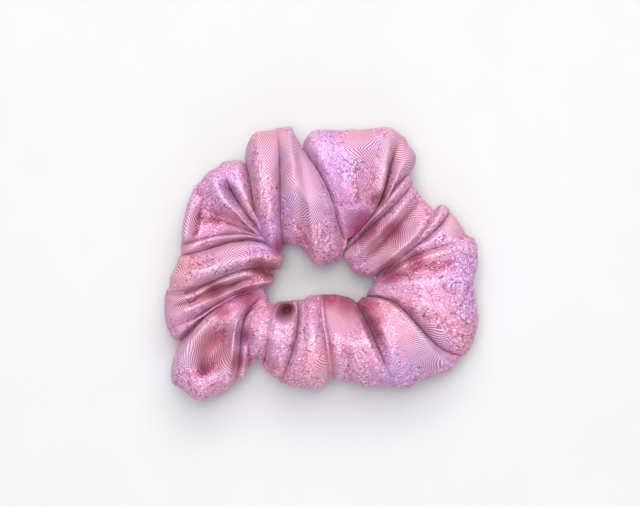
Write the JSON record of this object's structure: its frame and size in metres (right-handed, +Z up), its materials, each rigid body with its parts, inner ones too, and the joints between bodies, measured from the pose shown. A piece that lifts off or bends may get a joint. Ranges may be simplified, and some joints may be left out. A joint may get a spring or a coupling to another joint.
{
  "type": "scrunchie",
  "caption": "Gathered satin hair scrunchie: a sewn fabric tube bunched up on a closed elastic loop, for tying a ponytail or bun.",
  "frame": {"origin": "on the plane the scrunchie lies on, under the centre of its outline", "axes": "+Z up, along the axis of the hair hole; +X along the outline's longest extent; +Y away from the closing seam"},
  "size_m": [0.111, 0.0962, 0.032],
  "materials": {
    "brocade": "shiny metallic-thread brocade satin, dusty pink shot with lilac and salmon",
    "elastic": "matt white braided elastic",
    "thread": "satin polyester sewing thread",
    "white_thread": "matt polyester sewing thread"
  },
  "bodies": {
    "cover": {"fabric_cover": "brocade", "long_seam_thread": "thread", "closing_seam_thread": "thread"},
    "elastic": {"elastic_band": "elastic", "elastic_join_thread": "white_thread"}
  },
  "joints": [
    {"name": "elastic_shuttle", "type": "hinge", "parent": "cover", "child": "elastic", "pos_m": [-0.00007, -0.00345, 0.0125], "axis": [0, 0, 1], "continuous": true}
  ]
}
